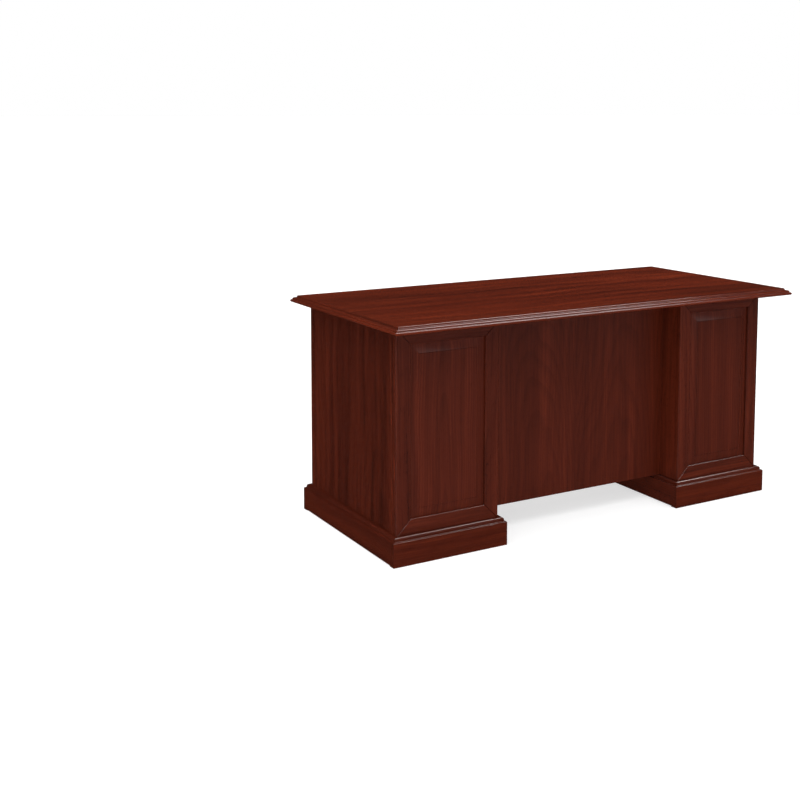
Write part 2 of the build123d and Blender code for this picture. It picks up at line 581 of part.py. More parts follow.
# ---- the whole desk ----
def build_case(fittings):
    """Everything that stands still, by node name."""
    nodes = {}
    bottoms, top_rails, fields = [], [], []
    for side, name in ((DRAWER_SIDE, "drawer_pedestal"), (DOOR_SIDE, "cupboard_pedestal")):
        walls = (f"{name}_outer_panel", f"{name}_inner_panel")
        nodes[walls[0]] = side_panel(side, 0)
        nodes[walls[1]] = side_panel(side, PEDESTAL_WIDTH - PANEL)
        bottoms.append(level_board(side, (CARCASE_BACK_Y, RAIL_FRONT_Y), PLINTH_HEIGHT))
        bottoms.append(level_board(side, (RAIL_FRONT_Y - PANEL, CASE_FRONT_Y), PLINTH_HEIGHT - PANEL))   # cleat
        fittings.join_both_ends("pedestal_bottoms", walls, side, (-200.0, 260.0), PLINTH_HEIGHT)
        top_rails.append(level_board(side, (RAIL_FRONT_Y - 100, RAIL_FRONT_Y), TOP_UNDER_Z - PANEL))
        top_rails.append(level_board(side, (CARCASE_BACK_Y, CARCASE_BACK_Y + 100), TOP_UNDER_Z - PANEL))
        fittings.join_both_ends("top_rails", walls, side, (CARCASE_BACK_Y + 80.0, RAIL_FRONT_Y - 50.0),
                                TOP_UNDER_Z - PANEL)
        nodes[f"{name}_panel_frame"] = raised_frame(side)
        fields.append(raised_field(side))
        nodes[f"{name}_plinth"] = plinth(side)
    nodes["pedestal_bottoms"] = bottoms
    nodes["top_rails"] = top_rails
    nodes["raised_fields"] = group(*fields)

    tongue_slot = block((-CENTRE_X - 29.0, -CENTRE_X + 29.0), (FILE_TONGUE_Y - 2.0, FILE_TONGUE_Y + 5.0),
                        (LOWER_RAIL_Z - PANEL, FILE_FRONT_HIGH - LOCK_DROP + LOCK_TONGUE_REACH + 1.2))
    divider_y = (RAIL_FRONT_Y - 60, RAIL_FRONT_Y)
    nodes["drawer_divider_rails"] = [
        level_board(DRAWER_SIDE, divider_y, UPPER_RAIL_Z - PANEL / 2),
        level_board(DRAWER_SIDE, divider_y, LOWER_RAIL_Z - PANEL / 2) - tongue_slot]
    for z in (UPPER_RAIL_Z, LOWER_RAIL_Z):
        fittings.join_both_ends("drawer_divider_rails", ("drawer_pedestal_outer_panel", "drawer_pedestal_inner_panel"),
                                DRAWER_SIDE, (RAIL_FRONT_Y - 36.0,), z - PANEL / 2)
    nodes["cupboard_fixed_shelf"] = level_board(DOOR_SIDE, (CARCASE_BACK_Y, RAIL_FRONT_Y), UPPER_RAIL_Z - PANEL / 2)
    fittings.join_both_ends("cupboard_fixed_shelf", ("cupboard_pedestal_outer_panel", "cupboard_pedestal_inner_panel"),
                            DOOR_SIDE, (-200.0, 260.0), UPPER_RAIL_Z - PANEL / 2)

    pins = []
    for x, y, z, way in shelf_pin_points(DOOR_SIDE):
        wall = "cupboard_pedestal_outer_panel" if way > 0 else "cupboard_pedestal_inner_panel"
        fittings.cut(wall, rod(SHELF_PIN_RADIUS + HARDWARE_CLEARANCE, (x, y, z), (x + way * 9.0, y, z)))
        if abs(z - SHELF_Z) < SHELF_PIN_STEP / 2:
            pins.append(rod(SHELF_PIN_RADIUS, (x - way * 9.0, y, z), (x + way * 8.5, y, z)))
    nodes["shelf_pins"] = group(*pins)
    nodes["cupboard_loose_shelf"] = block(
        (mirrored(PANEL + 1.5, DOOR_SIDE), mirrored(PEDESTAL_WIDTH - PANEL - 1.5, DOOR_SIDE)),
        (CARCASE_BACK_Y + 4.0, FRONT_BACK_Y - 40.0), (SHELF_Z, SHELF_Z + PANEL))

    nodes["modesty_panel"] = modesty_panel()
    nodes["desktop_core"] = desktop_core()
    nodes["desktop_edge_moulding"] = desktop_edge_moulding()
    nodes["top_brackets"] = top_brackets()
    nodes["floor_glides"] = glides()
    nodes["cam_discs"] = group(*fittings.cams)
    nodes["cam_bolts"] = group(*fittings.bolts)
    for name in fittings.holes:
        if isinstance(nodes[name], list):
            nodes[name] = group(*[fittings.drilled(name, board) for board in nodes[name]])
        else:
            nodes[name] = fittings.drilled(name, nodes[name])
    return nodes


def build_drawers():
    """The four drawers, and the slides' members that stay in the case."""
    nodes, case = {}, []
    upper_box = TOP_FRONT_LOW + 13.0
    second_box = SECOND_FRONT_LOW + 13.0
    file_box = BOTTOM_TOP_Z + 12.0
    pull_in_box = 62.0
    layout = (
        ("upper_drawer", DRAWER_SIDE, TOP_FRONT_LOW, TOP_FRONT_HIGH, upper_box, BOX_HEIGHT,
         TOP_FRONT_HIGH - pull_in_box, False),
        ("second_drawer", DRAWER_SIDE, SECOND_FRONT_LOW, SECOND_FRONT_HIGH, second_box, BOX_HEIGHT,
         SECOND_FRONT_HIGH - pull_in_box, False),
        ("file_drawer", DRAWER_SIDE, LOWEST_FRONT_LOW, FILE_FRONT_HIGH, file_box, FILE_BOX_HEIGHT,
         FILE_FRONT_HIGH - 112.0, True),
        ("cupboard_drawer", DOOR_SIDE, TOP_FRONT_LOW, TOP_FRONT_HIGH, upper_box, BOX_HEIGHT,
         TOP_FRONT_HIGH - pull_in_box, False),
    )
    for name, side, low, high, box_low, box_height, pull_z, locked in layout:
        made, members = make_drawer(name, side, low, high, box_low, box_height, pull_z, locked)
        nodes.update(made)
        case.append(members)
    nodes["case_slide_members"] = group(*case)
    nodes["file_slide_middle_members"] = middle_members(DRAWER_SIDE, file_box + FILE_BOX_HEIGHT / 2)
    nodes["file_hanger_rails"] = file_hanger_rails(DRAWER_SIDE, file_box + FILE_BOX_HEIGHT)
    lock_x, lock_z = -CENTRE_X, FILE_FRONT_HIGH - LOCK_DROP
    nodes["file_lock_body"] = lock_body(lock_x, lock_z)
    nodes["file_lock_plug"] = lock_plug(lock_x, lock_z)
    return nodes


def build_door():
    knob_x = mirrored(PEDESTAL_WIDTH - PANEL - FRONT_SIDE_GAP - KNOB_FROM_EDGE, DOOR_SIDE)
    door_high = TOP_FRONT_LOW - REVEAL
    knob_z = door_high - KNOB_DROP
    door = eased_front(CENTRE_X, FRONT_HALF, LOWEST_FRONT_LOW, door_high)
    door -= rod(LOCK_RADIUS + HARDWARE_CLEARANCE, (knob_x, FRONT_BACK_Y - 1, knob_z), (knob_x, FACE_Y + 1, knob_z))
    for z in HINGE_HEIGHTS:
        edge = CENTRE_X + FRONT_HALF
        door -= block((edge - 6.0, edge + 1.0), (FACE_Y - 7.6, FACE_Y + 5.0),
                      (z - HINGE_LENGTH / 2 - 3.0, z + HINGE_LENGTH / 2 + 3.0))
    return {
        "door": door,
        "door_hinge_leaves": hinge_knuckles(HINGE_HEIGHTS, "door", HINGE_LENGTH),
        "case_hinge_leaves": hinge_knuckles(HINGE_HEIGHTS, "case", HINGE_LENGTH),
        "door_knob_sleeve": knob_body(knob_x, knob_z),
        "door_knob": door_knob(knob_x, knob_z),
        "door_strike": door_strike(DOOR_SIDE, knob_z),
    }


def build_keyboard_shelf():
    front = CASE_FRONT_Y - 14.0
    return {
        "keyboard_shelf": tray_panel(),
        "keyboard_case_members": tray_slides(0, SLIDE_WIDTH, 9.5, 11.0, (front - TRAY_DEPTH + 10.0, front - 6.0)),
        "keyboard_shelf_members": tray_slides(0, SLIDE_WIDTH, -6.0, 7.0, (front - TRAY_DEPTH + 10.0, front - 8.0)),
    }


os.makedirs("parts", exist_ok=True)
desk = build_case(Fittings())
desk.update(build_drawers())
desk.update(build_door())
desk.update(build_keyboard_shelf())
for node, shape in desk.items():
    export_step(shape, f"parts/{node}.step")
print(len(desk), "nodes")
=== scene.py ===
import bpy
import math
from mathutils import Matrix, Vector


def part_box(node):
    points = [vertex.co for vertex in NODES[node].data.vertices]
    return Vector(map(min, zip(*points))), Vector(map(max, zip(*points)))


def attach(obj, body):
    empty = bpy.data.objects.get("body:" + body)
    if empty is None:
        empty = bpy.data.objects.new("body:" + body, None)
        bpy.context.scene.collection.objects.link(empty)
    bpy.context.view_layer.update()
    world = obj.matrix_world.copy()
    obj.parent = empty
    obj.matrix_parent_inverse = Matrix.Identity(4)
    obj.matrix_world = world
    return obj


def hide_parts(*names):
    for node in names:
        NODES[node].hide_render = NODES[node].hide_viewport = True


# A double-pedestal executive desk in dark cherry laminate. Metres, +Z up; -Y is the visitor's side and +Y
# the user's. The drawer pedestal is at -X and the cupboard pedestal at +X. Profiles are in millimetres.

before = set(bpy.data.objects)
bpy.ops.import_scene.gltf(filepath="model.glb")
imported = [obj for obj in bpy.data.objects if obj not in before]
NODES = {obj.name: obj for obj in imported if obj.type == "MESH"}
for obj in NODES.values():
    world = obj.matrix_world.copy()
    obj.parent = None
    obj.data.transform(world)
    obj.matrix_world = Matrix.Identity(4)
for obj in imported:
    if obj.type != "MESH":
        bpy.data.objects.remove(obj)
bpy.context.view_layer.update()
MM = 0.001

HALF_LENGTH, HALF_DEPTH = 0.825, 0.378
TOP_MM = 768.0              # the desktop's face above the floor
CENTRE_X = 0.576            # the pedestals' middles are at -CENTRE_X and +CENTRE_X
CARCASE_BACK_Y = -0.258     # behind the panel frames and the raised fields
FRONT_BACK_Y = 0.320        # behind the drawer fronts and the door
FACE_Y = 0.338              # the face of the drawer fronts and the door
DRAWERS = {                 # pedestal sign, pull height
    "upper_drawer": (-1, 0.675),
    "second_drawer": (-1, 0.524),
    "file_drawer": (-1, 0.323),
    "cupboard_drawer": (1, 0.675),
}


# ---- materials ----
class Graph:
    """Short-hand for building a node tree."""

    def __init__(self, tree):
        self.tree = tree

    def add(self, kind, inputs=(), **settings):
        node = self.tree.nodes.new(kind)
        for key, value in settings.items():
            setattr(node, key, value)
        for socket, value in dict(inputs).items():
            if isinstance(value, bpy.types.NodeSocket):
                self.tree.links.new(value, node.inputs[socket])
            else:
                node.inputs[socket].default_value = value
        return node

    def math(self, operation, *values, clamp=False):
        node = self.add("ShaderNodeMath", dict(enumerate(values)), operation=operation)
        node.use_clamp = clamp
        return node.outputs[0]

    def noise(self, a, c, d, rates, detail=2.0, rough=0.5):
        """Noise over (along, across, depth), with its own rate per metre in each."""
        vector = self.add("ShaderNodeCombineXYZ", {
            0: self.math("MULTIPLY", a, rates[0]),
            1: self.math("MULTIPLY", c, rates[1]),
            2: self.math("MULTIPLY", d, rates[2]),
        })
        return self.add("ShaderNodeTexNoise", {"Vector": vector.outputs[0], "Scale": 1.0, "Detail": detail,
                                               "Roughness": rough}).outputs[0]

    def ramp(self, value, stops):
        node = self.add("ShaderNodeValToRGB", {0: value})
        elements = node.color_ramp.elements
        while len(elements) < len(stops):
            elements.new(0.5)
        for element, (position, colour) in zip(elements, stops):
            element.position = position
            element.color = (*colour, 1)
        return node.outputs[0]

    def spread(self, value, low, high, to_low=0.0, to_high=1.0, smooth=False):
        return self.add("ShaderNodeMapRange", {0: value, 1: low, 2: high, 3: to_low, 4: to_high},
                        interpolation_type="SMOOTHSTEP" if smooth else "LINEAR").outputs[0]

    def axes(self):
        """The object's own coordinates, one by one."""
        coordinates = self.add("ShaderNodeTexCoord").outputs["Object"]
        return self.add("ShaderNodeSeparateXYZ", {0: coordinates}).outputs

    def surface(self, shader, colour, rough, height, strength, distance):
        """Gives a shader its colour, its roughness and a bump made from a height."""
        bump = self.add("ShaderNodeBump", {"Height": height, "Strength": strength, "Distance": distance})
        for socket, value in (("Base Color", colour), ("Roughness", rough), ("Normal", bump.outputs[0])):
            self.tree.links.new(value, shader.inputs[socket])


FLITCH_HALF = 0.17          # half the width of a flitch, in metres
RING_RATE = 120.0           # growth rings in a metre


def cherry_group():
    """Dark cherry: flitches with cathedral figure, broad bands, fine fibres and short pores.
    Its vector is (along the grain, across it, into the board), in metres."""
    tree = bpy.data.node_groups.new("cherry", "ShaderNodeTree")
    tree.interface.new_socket("Vector", in_out="INPUT", socket_type="NodeSocketVector")
    tree.interface.new_socket("Figure", in_out="INPUT", socket_type="NodeSocketFloat")
    for name in ("Tone", "Roughness", "Height"):
        tree.interface.new_socket(name, in_out="OUTPUT", socket_type="NodeSocketFloat")
    g = Graph(tree)
    source = g.add("NodeGroupInput")
    a, c, d = g.add("ShaderNodeSeparateXYZ", {0: source.outputs["Vector"]}).outputs

    # the grain wanders, in long waves and short ones
    wander = g.math("MULTIPLY_ADD", g.noise(a, c, d, (1.3, 4.0, 4.0)), 0.050, -0.025)
    shiver = g.math("MULTIPLY_ADD", g.noise(a, c, d, (9.0, 40.0, 40.0)), 0.004, -0.002)
    across = g.math("ADD", c, g.math("ADD", wander, shiver))

    # cathedral figure: a cut through rings about an axis that dips away from the face
    folded = g.math("PINGPONG", across, FLITCH_HALF)
    dip = g.math("ADD", g.math("MULTIPLY_ADD", a, 0.050, 0.012),
                 g.math("MULTIPLY_ADD", g.noise(a, c, d, (0.7, 2.6, 1.0)), 0.10, -0.05))
    radius = g.math("SQRT", g.math("ADD", g.math("MULTIPLY", folded, folded), g.math("MULTIPLY", dip, dip)))
    ragged = g.math("MULTIPLY", g.noise(a, c, d, (2.5, 18.0, 18.0)), 1.6)
    tooth = g.math("FRACT", g.math("MULTIPLY_ADD", radius, RING_RATE, ragged))
    line = g.math("MULTIPLY", g.spread(tooth, 0.35, 0.88, smooth=True),
                  g.spread(tooth, 1.0, 0.88, smooth=True))

    broad = g.noise(a, across, d, (0.45, 8.0, 6.0), 2.0)
    band = g.noise(a, across, d, (0.9, 42.0, 30.0), 3.0, 0.55)
    streak = g.noise(a, across, d, (2.6, 170.0, 120.0), 3.0, 0.6)
    fibre = g.noise(a, across, d, (8.0, 620.0, 420.0), 2.0, 0.6)
    pore = g.spread(g.noise(a, across, d, (55.0, 420.0, 420.0), 1.0), 0.61, 0.70, smooth=True)

    tone = 0.5
    for layer, share in ((broad, 0.50), (band, 0.95), (streak, 0.70), (fibre, 0.35)):
        tone = g.math("MULTIPLY_ADD", g.math("SUBTRACT", layer, 0.5), share, tone)
    rings = g.math("MULTIPLY", line, source.outputs["Figure"])
    tone = g.math("SUBTRACT", tone, g.math("MULTIPLY", rings, 0.20))
    tone = g.math("SUBTRACT", tone, g.math("MULTIPLY", pore, 0.22), clamp=True)
    rough = g.math("MULTIPLY_ADD", fibre, 0.10, g.math("MULTIPLY_ADD", streak, 0.06, 0.15))
    height = g.math("SUBTRACT", g.math("MULTIPLY", fibre, 0.5), g.math("MULTIPLY", pore, 0.6))
    g.add("NodeGroupOutput", {"Tone": tone, "Roughness": rough, "Height": height})
    return tree


CHERRY = cherry_group()
DARK = (0.036, 0.0062, 0.0032)
MIDDLE = (0.078, 0.0115, 0.0046)
LIGHT = (0.145, 0.0210, 0.0072)
TONE_STOPS = (0.08, 0.5, 0.95)      # the tones at which the wood is DARK, MIDDLE and LIGHT
GRAIN_DEPTH = 0.0004                # bump, in metres
SPECKLE_DEPTH = 0.0003


def new_material(name, **inputs):
    material = bpy.data.materials.new(name)
    material.use_nodes = True
    shader = material.node_tree.nodes["Principled BSDF"]
    for socket, value in inputs.items():
        shader.inputs[socket.replace("_", " ")].default_value = value
    return material, Graph(material.node_tree), shader


def wood(name, grain, offset, figure=0.4, tone_and_painted_light=1.0, across=1.0, contrast=1.0, bump=0.12, rough=1.0):
    """Cherry with its grain along the first axis that grain names and its width along the second.
    offset shifts the grain in metres and across multiplies its scale over the width. figure is the strength
    of the rings. The tint factor multiplies the tints and is painted light and shade on most faces: the same
    laminate is made lighter where the light falls on it and darker where it is in shade. contrast and rough
    multiply the tints' differences and the roughness."""
    material, g, shader = new_material(name, Specular_IOR_Level=0.5)
    axes = g.axes()
    parts = [g.math("MULTIPLY_ADD", axes["XYZ".index(axis)], scale, shift)
             for axis, scale, shift in zip(grain, (1.0, across, 1.0), (*offset, 0.0))]
    vector = g.add("ShaderNodeCombineXYZ", dict(enumerate(parts)))
    cherry = g.add("ShaderNodeGroup", node_tree=CHERRY)
    g.tree.links.new(vector.outputs[0], cherry.inputs["Vector"])
    cherry.inputs["Figure"].default_value = figure
    # painted light and shade: the tint factor scales all three tints, lighter for lit faces and darker for
    # shaded ones
    tints = [tuple(tone_and_painted_light * (m + (x - m) * contrast) for x, m in zip(colour, MIDDLE))
             for colour in (DARK, MIDDLE, LIGHT)]
    colour = g.ramp(cherry.outputs["Tone"], list(zip(TONE_STOPS, tints)))
    g.surface(shader, colour, g.math("MULTIPLY", cherry.outputs["Roughness"], rough),
              cherry.outputs["Height"], bump, GRAIN_DEPTH)
    return material


def speckled(name, dark, pale, rough, scales, metallic=0.0, contrast=1.0, bump=0.05):
    """A material whose colour and roughness vary with fine noise, for metal, plastic and board."""
    material, g, shader = new_material(name, Metallic=metallic)
    axes = g.axes()
    fine = g.noise(*axes, scales, 3.0, 0.6)
    coarse = g.noise(*axes, [s * 0.06 for s in scales], 2.0)
    mixed = g.math("ADD", g.math("MULTIPLY", fine, 0.5), g.math("MULTIPLY", coarse, 0.5))
    reach = 0.25 / contrast
    colour = g.ramp(mixed, [(0.5 - reach, dark), (0.5 + reach, pale)])
    g.surface(shader, colour, g.spread(mixed, 0.3, 0.7, rough * 0.82, rough * 1.18), fine, bump,
              SPECKLE_DEPTH)
    return material


def worn_bronze():
    """Dark antique bronze: nearly black in the hollows, brassy where hands and edges have rubbed it."""
    material, g, shader = new_material("antique_bronze", Metallic=0.75)
    geometry = g.add("ShaderNodeNewGeometry")
    mottle = g.noise(*g.axes(), (260, 260, 260), 4.0, 0.6)
    rubbed = g.spread(geometry.outputs["Pointiness"], 0.50, 0.58)
    amount = g.math("ADD", g.math("MULTIPLY", rubbed, 0.8), g.math("MULTIPLY_ADD", mottle, 0.9, -0.33),
                    clamp=True)
    colour = g.ramp(amount, [(0.0, (0.040, 0.040, 0.034)), (0.45, (0.115, 0.112, 0.090)),
                             (1.0, (0.46, 0.41, 0.30))])
    g.surface(shader, colour, g.spread(mottle, 0.3, 0.7, 0.22, 0.40), mottle, 0.08, SPECKLE_DEPTH)
    return material


# Painted light and shade: the brightness factor makes one laminate lighter on the top, the front edge and the
# kneehole sides, and darker on the end panels, the plinth sides, the stiles and the rails, for how the light
# falls on each face.
WOOD = {
    "top": wood("cherry_top", "XYZ", (3.1, 0.62), figure=0.30, tone_and_painted_light=1.47, across=0.55, contrast=1.25),
    "edge_x": wood("cherry_edge_x", "XYZ", (7.7, 2.05), figure=0.15, tone_and_painted_light=1.18, contrast=0.8,
                   bump=0.05, rough=0.55),
    "edge_y": wood("cherry_edge_y", "YXZ", (1.9, 5.33), figure=0.15, tone_and_painted_light=1.05, contrast=0.8, bump=0.05),
    "end": wood("cherry_end", "ZYX", (2.4, 0.10), figure=0.45, tone_and_painted_light=0.77, across=0.75, contrast=1.12),
    "inner": wood("cherry_inner", "ZYX", (5.2, 0.23), figure=0.45, tone_and_painted_light=1.10, across=0.42, contrast=0.75,
                  bump=0.03),
    "stile": wood("cherry_stile", "ZXY", (8.3, 4.13), figure=0.25, tone_and_painted_light=0.95),
    "rail": wood("cherry_rail", "XZY", (4.4, 6.26), figure=0.25, tone_and_painted_light=0.93),
    "field": wood("cherry_field", "ZXY", (0.05, 0.592), figure=0.95, tone_and_painted_light=0.97, contrast=0.62),
    "modesty": wood("cherry_modesty", "ZXY", (6.1, 0.16), figure=0.70, tone_and_painted_light=0.99, contrast=0.66),
    "plinth_x": wood("cherry_plinth_x", "XZY", (9.6, 3.30), figure=0.35, tone_and_painted_light=0.86, contrast=0.8,
                     bump=0.06, rough=0.7),
    "plinth_y": wood("cherry_plinth_y", "YZX", (2.2, 7.41), figure=0.35, tone_and_painted_light=0.76, contrast=0.8),
    "front": wood("cherry_front", "ZXY", (1.30, 0.57), figure=0.80, tone_and_painted_light=1.05),
    "level": wood("cherry_level", "XYZ", (5.5, 3.9), figure=0.35),
    "box_side": wood("cherry_box_side", "YZX", (6.4, 2.9), figure=0.2, tone_and_painted_light=0.62),
}
STEEL = speckled("zinc_steel", (0.42, 0.43, 0.45), (0.60, 0.61, 0.63), 0.36, (900, 30, 900), metallic=0.7,
                 contrast=0.8)
BLACK_STEEL = speckled("black_steel", (0.012, 0.012, 0.012), (0.030, 0.030, 0.030), 0.42, (900, 900, 900))
BRONZE = worn_bronze()
NICKEL = speckled("dark_nickel", (0.050, 0.050, 0.050), (0.130, 0.128, 0.120), 0.28, (500, 500, 500),
                  metallic=0.8)
BLACK_PLASTIC = speckled("black_plastic", (0.014, 0.014, 0.014), (0.028, 0.028, 0.028), 0.5,
                         (1200, 1200, 1200))
HARDBOARD = speckled("hardboard", (0.036, 0.015, 0.008), (0.076, 0.033, 0.017), 0.62, (700, 700, 700),
                     contrast=1.2, bump=0.15)


# ---- meshes ----
def arc(start, through, end, count):
    """This many points along the circle through three points, without the first one."""
    (ax, ay), (bx, by), (cx, cy) = start, through, end
    d = 2 * (ax * (by - cy) + bx * (cy - ay) + cx * (ay - by))
    a2, b2, c2 = ax**2 + ay**2, bx**2 + by**2, cx**2 + cy**2
    ux = (a2 * (by - cy) + b2 * (cy - ay) + c2 * (ay - by)) / d
    uy = (a2 * (cx - bx) + b2 * (ax - cx) + c2 * (bx - ax)) / d
    radius = math.hypot(ax - ux, ay - uy)
    first, middle, last = (math.atan2(y - uy, x - ux) for x, y in (start, through, end))
    turn = (last - first) % math.tau
    if (middle - first) % math.tau > turn:
        turn -= math.tau
    steps = (first + turn * i / count for i in range(1, count + 1))
    return [(ux + radius * math.cos(t), uy + radius * math.sin(t)) for t in steps]


class Solids:
    """Gathers several closed shapes into one mesh."""

    def __init__(self):
        self.verts, self.faces, self.indices = [], [], []

    def add(self, verts, faces, material=0):
        start = len(self.verts)
        self.verts += verts
        self.faces += [[start + i for i in face] for face in faces]
        self.indices += [material] * len(faces)

    def box(self, low, high):
        corners = [(x, y, z) for x in (low[0], high[0]) for y in (low[1], high[1]) for z in (low[2], high[2])]
        self.add(corners, [(0, 1, 3, 2), (4, 6, 7, 5), (0, 4, 5, 1), (2, 3, 7, 6), (0, 2, 6, 4), (1, 5, 7, 3)])

    def strip(self, rings, material=0):
        """A skin over closed rings of points with the same count, capped at both ends."""
        count = len(rings[0])
        last = (len(rings) - 1) * count
        faces = []
        for base in range(0, last, count):
            for i in range(count):
                j = (i + 1) % count
                faces.append((base + i, base + j, base + count + j, base + count + i))
        faces.append(tuple(range(count - 1, -1, -1)))
        faces.append(tuple(range(last, last + count)))
        self.add([p for ring in rings for p in ring], faces, material)

    def lathe(self, profile, place, steps=40):
        """Turns (radius, distance) about an axis. place maps (u, v, w) in millimetres to the row frame, with
        w along the axis."""
        self.strip([[place(r * math.cos(math.tau * i / steps), r * math.sin(math.tau * i / steps), w)
                     for i in range(steps)] for r, w in profile])

    def tube(self, points, radii, steps):
        """A round bar along points, with its own radius at each."""
        rings = []
        side = None
        for i, p in enumerate(points):
            ahead = (points[min(i + 1, len(points) - 1)] - points[max(i - 1, 0)]).normalized()
            if side is None:
                side = ahead.orthogonal().normalized()
            side = (side - ahead * side.dot(ahead)).normalized()
            up = ahead.cross(side)
            rings.append([p + (side * math.cos(t) + up * math.sin(t)) * radii[i]
                          for t in (math.tau * k / steps for k in range(steps))])
        self.strip(rings)

    def piece(self, name, body, materials, slot, replaces=(), round_mm=0.0, angle=35.0):
        """A mesh in the row frame that rides on a body. The edges that turn by more than angle are rounded by
        a bevel, or only marked as sharp where round_mm is 0."""
        mesh = bpy.data.meshes.new(name)
        mesh.from_pydata([Vector(v) for v in self.verts], [], self.faces)
        for material in materials:
            mesh.materials.append(material)
        mesh.polygons.foreach_set("material_index", self.indices)
        mesh.validate()
        mesh.shade_smooth()
        obj = bpy.data.objects.new(name, mesh)
        bpy.context.scene.collection.objects.link(obj)
        bpy.context.view_layer.objects.active = obj
        obj.select_set(True)
        bpy.ops.object.mode_set(mode="EDIT")
        bpy.ops.mesh.select_all(action="SELECT")
        bpy.ops.mesh.normals_make_consistent(inside=False)
        bpy.ops.object.mode_set(mode="OBJECT")
        obj.select_set(False)
        if round_mm:
            bevel = obj.modifiers.new("arris", "BEVEL")
            bevel.width = round_mm * MM
            bevel.segments = 2
            bevel.limit_method = "ANGLE"
            bevel.angle_limit = math.radians(angle)
            bevel.harden_normals = True
        else:
            mesh.set_sharp_from_angle(angle=math.radians(angle))
        flats = obj.modifiers.new("flats", "WEIGHTED_NORMAL")
        flats.keep_sharp = True
        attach(obj, body)
        if replaces:
            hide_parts(*replaces)


def mitred_boards(solids, profile, centre, half, place, gap=0.12, relief=None, chamfer=None):
    """Four boards round a rectangle, mitred where they meet, with a gap there. profile is (inset, height)
    points and centre and half are metres; place maps (x, y, height) in metres to the row frame. Material 0
    is for the boards that run along X and material 1 for the others.
    relief (foot, rise) lifts the underside of the others by rise, except within foot of their ends.
    chamfer (drop, run) eases the face at the joints."""
    corners = [(1, -1), (1, 1), (-1, 1), (-1, -1)]
    top = max(height for _, height in profile)
    for k in range(4):
        (sx0, sy0), (sx1, sy1) = corners[k - 1], corners[k]
        along_x = sy0 == sy1
        ahead = math.copysign(1, sx1 - sx0 if along_x else sy1 - sy0)

        def cut(sx, sy, shift, lowered=0.0):
            """The profile along a corner's mitre, shifted along the board, with its top lowered."""
            ring = []
            for inset, height in profile:
                x, y = sx * (half[0] - inset * MM), sy * (half[1] - inset * MM)
                if along_x:
                    x += shift * MM
                else:
                    y += shift * MM
                ring.append(place(centre[0] + x, centre[1] + y, min(height, top - lowered) * MM))
            return ring

        if chamfer:
            drop, run = chamfer
            rings = [cut(sx0, sy0, ahead * gap, drop), cut(sx0, sy0, ahead * (gap + run)),
                     cut(sx1, sy1, -ahead * (gap + run)), cut(sx1, sy1, -ahead * gap, drop)]
        else:
            rings = [cut(sx0, sy0, ahead * gap), cut(sx1, sy1, -ahead * gap)]
        if relief and not along_x:
            foot, rise = relief
            rings[1:1] = [[place(centre[0] + sx0 * (half[0] - inset * MM),
                                 centre[1] + sy * (half[1] - foot * MM), max(height, clearance) * MM)
                           for inset, height in profile]
                          for sy, clearance in ((sy0, 0.0), (sy0, rise), (sy1, rise), (sy1, 0.0))]
        solids.strip(rings, material=0 if along_x else 1)


def terrace(solids, centre, half, steps, place):
    """A panel whose border rises in steps: (inset, height) points, from the back's edge to the face."""
    rings = []
    for inset, height in steps:
        w, h = half[0] - inset * MM, half[1] - inset * MM
        rings.append([place(centre[0] + sx * w, centre[1] + sy * h, height * MM)
                      for sx, sy in ((-1, -1), (1, -1), (1, 1), (-1, 1))])
    solids.strip(rings)


# Where shapes lie: level boards, panels on the visitor's side, and fronts on the user's side.
def level(x, y, height):
    return (x, y, height)


def upright(x, z, height):
    return (x, CARCASE_BACK_Y - height, z)


def fronted(x, z, height):
    return (x, FRONT_BACK_Y + height, z)


def facing_user(x, z):
    """Maps a lathe's (u, v, w) to the row frame, with w out of a front at (x, z)."""
    return lambda u, v, w: (x + u * MM, FACE_Y + w * MM, z + v * MM)


# ---- the desktop ----
def edge_profile():
    """The desktop's edge: a rounded lip, a shelf that falls to a rounded shoulder, and a nose that rolls
    under. Heights are from the desktop's face."""
    lip = arc((21.8, 0.0), (19.1, -1.2), (18.0, -4.0), 8)
    shelf = arc((17.9, -5.8), (17.4, -6.4), (16.4, -6.7), 3)
    shoulder = arc((11.4, -7.2), (7.6, -8.7), (5.9, -12.0), 8)
    ledge = arc((5.8, -13.0), (5.6, -13.7), (5.0, -14.1), 3)
    nose = arc((4.5, -14.2), (1.3, -15.7), (0.0, -19.0), 8)
    belly = arc((0.0, -19.6), (1.3, -22.6), (4.4, -24.0), 6)
    points = [(22.0, -24.0), (22.0, 0.0), (21.8, 0.0), *lip, (17.9, -5.8), *shelf, (11.4, -7.2), *shoulder,
              (5.8, -13.0), *ledge, (4.5, -14.2), *nose, (0.0, -19.6), *belly]
    return [(inset, TOP_MM + height) for inset, height in points]


edge = Solids()
mitred_boards(edge, edge_profile(), (0, 0), (HALF_LENGTH, HALF_DEPTH), level)
edge.piece("desktop_edge", "case", [WOOD["edge_x"], WOOD["edge_y"]], replaces=["desktop_edge_moulding"],
           slot="moulding")


# ---- plinths ----
def plinth_profile():
    """The plinth board: a flat face eased into a shelf, then a riser with a rounded cap."""
    ease = arc((0.0, 75.4), (0.8, 77.4), (3.0, 78.3), 6)
    cove = arc((6.0, 78.8), (6.9, 79.4), (7.2, 80.8), 4)
    cap = arc((7.4, 83.2), (9.2, 88.6), (15.2, 92.0), 9)
    return [(22.0, 92.0), (22.0, 0.0), (0.0, 0.0), (0.0, 75.4), *ease, (6.0, 78.8), *cove, (7.4, 83.2), *cap]


def plinth(name, node):
    """Four boards. The ones at the sides clear the floor by 3 mm except near their ends."""
    low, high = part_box(node)
    middle, half = (low + high) / 2, (high - low) / 2
    solids = Solids()
    mitred_boards(solids, plinth_profile(), (middle.x, middle.y), (half.x, half.y), level, relief=(26.0, 3.0))
    solids.piece(name, "case", [WOOD["plinth_x"], WOOD["plinth_y"]], replaces=[node], slot="moulding")


plinth("plinth_left", "drawer_pedestal_plinth")
plinth("plinth_right", "cupboard_pedestal_plinth")


